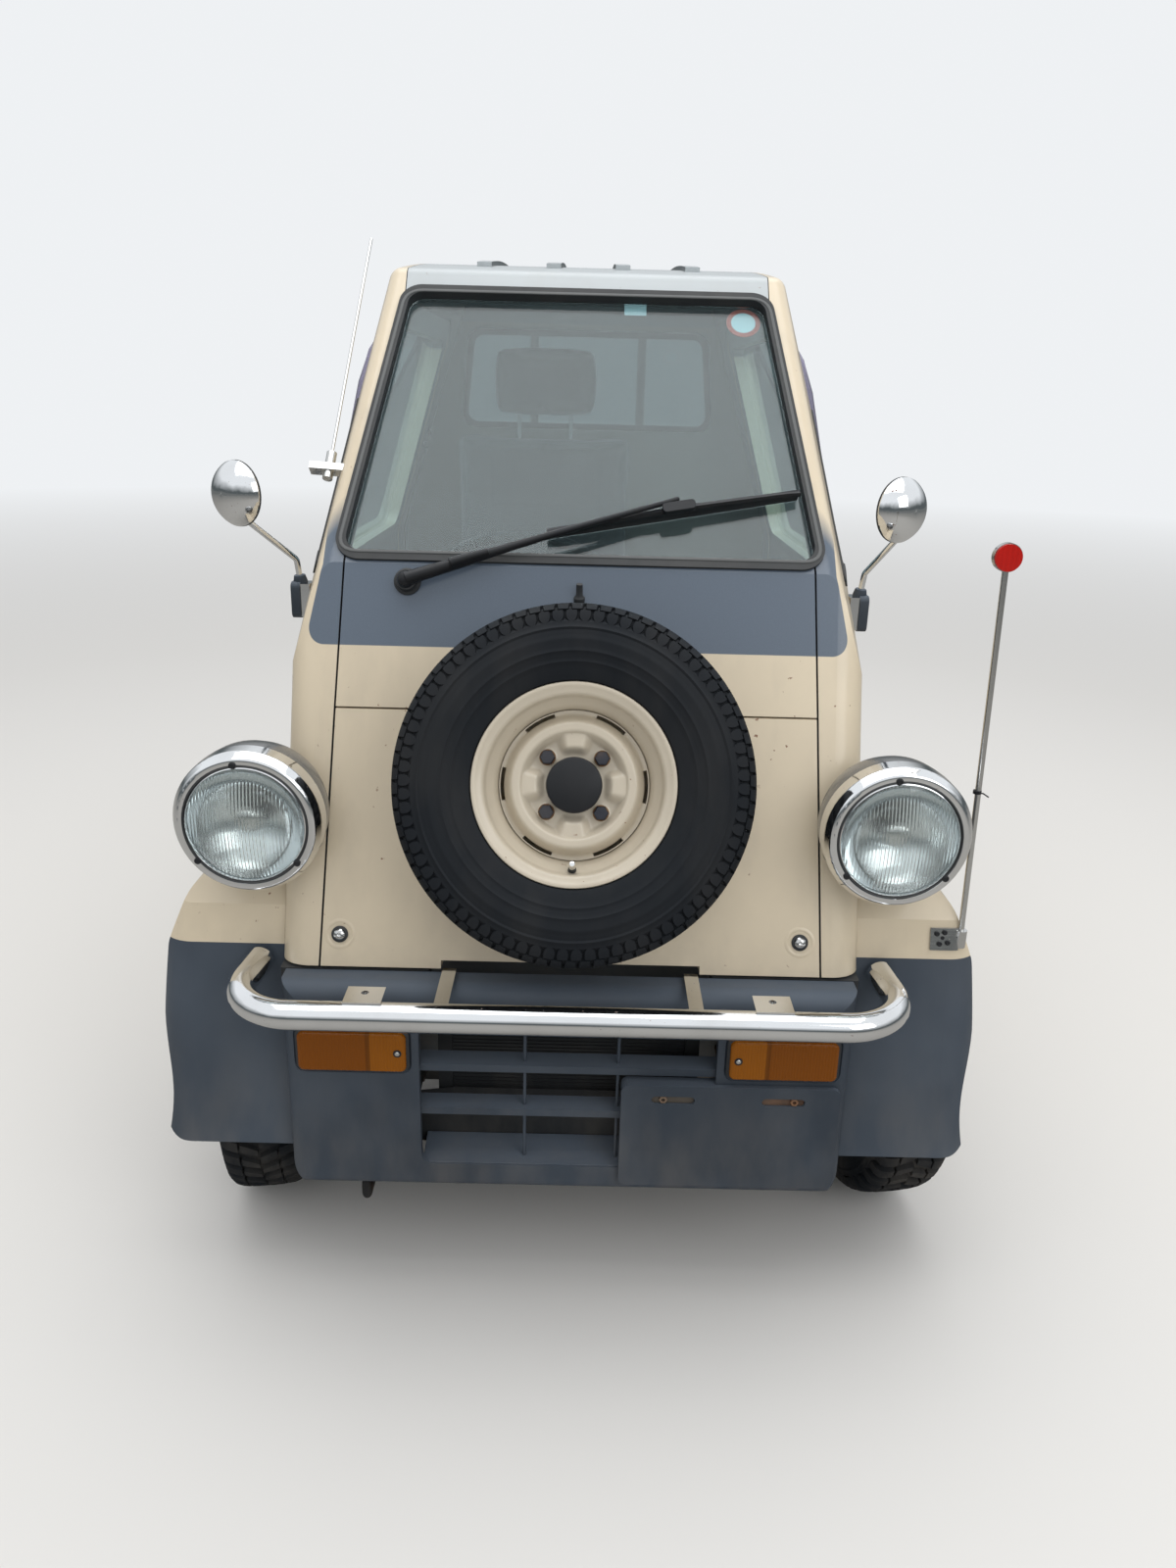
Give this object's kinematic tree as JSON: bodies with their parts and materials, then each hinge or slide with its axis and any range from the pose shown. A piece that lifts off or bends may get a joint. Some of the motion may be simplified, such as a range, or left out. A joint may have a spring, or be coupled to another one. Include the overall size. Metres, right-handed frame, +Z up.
{
  "type": "kei truck",
  "caption": "Single-seat pocket pickup with a spare wheel on its nose, round headlamps, a pipe bumper bar, two doors and a drop-sided cargo bed.",
  "frame": {"origin": "on the ground, under the middle of the overall length and width", "axes": "+Z up, the nose faces -Y, +X is the truck's left side"},
  "size_m": [1.2996, 2.79, 1.6438],
  "materials": {
    "cream_paint": "worn gloss",
    "grey_plastic": "faded",
    "grey_paint": "worn",
    "roof_paint": "worn",
    "chrome": "polished",
    "tyre": "worn",
    "wheel_paint": "worn gloss",
    "glass": "clear",
    "lens": "fluted",
    "amber": "moulded",
    "red": "moulded",
    "rubber": "aged",
    "black_metal": "rough",
    "iron": "rusty",
    "alloy": "cast",
    "steel": "worn",
    "seat_cloth": "woven",
    "cabin_plastic": "grained",
    "bright_steel": "polished"
  },
  "bodies": {
    "truck": {"frame_rails": "black_metal", "cab_floor": "grey_paint", "wheelhouses": "grey_paint", "engine_cover": "grey_paint", "steering_column": "black_metal", "nose_panel": "cream_paint", "cowl_panel": "cream_paint", "cab_side_left": "cream_paint", "cab_side_right": "cream_paint", "roof_panel": "roof_paint", "back_panel": "cream_paint", "windscreen": "glass", "window_seals": "rubber", "cab_glass": "glass", "front_fenders": "cream_paint", "front_flares": "grey_plastic", "bumper": "grey_plastic", "radiator": "alloy", "bumper_bar": "chrome", "turn_lamps": "amber", "headlamp_buckets": "grey_plastic", "headlamp_rims": "chrome", "headlamp_lenses": "lens", "spare_tyre": "tyre", "spare_wheel": "wheel_paint", "mirrors": "bright_steel", "wiper": "black_metal", "corner_pole": "bright_steel", "aerial": "bright_steel", "bed": "cream_paint", "rear_flares": "grey_plastic", "guard_frame": "black_metal", "tail_lamps": "red", "rear_bumper": "grey_plastic", "seat_cushion": "seat_cloth", "seat_back": "seat_cloth", "dashboard": "cabin_plastic", "engine_block": "alloy", "fuel_tank": "black_metal", "exhaust": "iron", "front_suspension": "black_metal", "rear_axle": "iron"},
    "left_door": {"door_left": "cream_paint", "door_glass_left": "glass"},
    "right_door": {"door_right": "cream_paint", "door_glass_right": "glass"},
    "load_gate": {"tailgate": "cream_paint"},
    "hand_wheel": {"steering_wheel": "cabin_plastic"},
    "left_knuckle": {"knuckle_left": "iron"},
    "right_knuckle": {"knuckle_right": "iron"},
    "front_left_wheel": {"wheel_front_left": "wheel_paint", "tyre_front_left": "tyre"},
    "front_right_wheel": {"wheel_front_right": "wheel_paint", "tyre_front_right": "tyre"},
    "rear_left_wheel": {"wheel_rear_left": "wheel_paint", "tyre_rear_left": "tyre"},
    "rear_right_wheel": {"wheel_rear_right": "wheel_paint", "tyre_rear_right": "tyre"}
  },
  "joints": [
    {"name": "door_left_hinge", "type": "hinge", "parent": "truck", "child": "left_door", "pos_m": [0.506, -0.606, 0.715], "axis": [0, 0, -1], "range_deg": [0, 65]},
    {"name": "door_right_hinge", "type": "hinge", "parent": "truck", "child": "right_door", "pos_m": [-0.506, -0.606, 0.715], "axis": [0, 0, 1], "range_deg": [0, 65]},
    {"name": "tailgate_hinge", "type": "hinge", "parent": "truck", "child": "load_gate", "pos_m": [0, 1.388, 0.64], "axis": [-1, 0, 0], "range_deg": [0, 90]},
    {"name": "steer_left", "type": "hinge", "parent": "truck", "child": "left_knuckle", "pos_m": [0.497, -0.952, 0.172], "axis": [-0.187, 0, 0.9824], "range_deg": [-44.5, 25.5]},
    {"name": "steer_right", "type": "hinge", "parent": "truck", "child": "right_knuckle", "pos_m": [-0.497, -0.952, 0.172], "axis": [0.187, 0, 0.9824], "range_deg": [-44.5, 25.5]},
    {"name": "steering_wheel_turn", "type": "hinge", "parent": "truck", "child": "hand_wheel", "pos_m": [-0.112, -0.5, 1.01], "axis": [0, 0.6947, 0.7193], "range_deg": [-667.5, 382.5]},
    {"name": "wheel_front_left_spin", "type": "hinge", "parent": "left_knuckle", "child": "front_left_wheel", "pos_m": [0.54711, -0.94106, 0.25833], "axis": [0.9868, 0.1621, -0.0025], "continuous": true},
    {"name": "wheel_front_right_spin", "type": "hinge", "parent": "right_knuckle", "child": "front_right_wheel", "pos_m": [-0.54711, -0.96294, 0.25833], "axis": [0.9868, 0.1621, 0.0025], "continuous": true},
    {"name": "wheel_rear_left_spin", "type": "hinge", "parent": "truck", "child": "rear_left_wheel", "pos_m": [0.548, 0.888, 0.2585], "axis": [1, 0, 0], "continuous": true},
    {"name": "wheel_rear_right_spin", "type": "hinge", "parent": "truck", "child": "rear_right_wheel", "pos_m": [-0.548, 0.888, 0.2585], "axis": [1, 0, 0], "continuous": true}
  ],
  "couplings": [
    {"joint": "steer_left", "follows": "steering_wheel_turn", "ratio": 0.066666},
    {"joint": "steer_right", "follows": "steering_wheel_turn", "ratio": 0.066666}
  ]
}
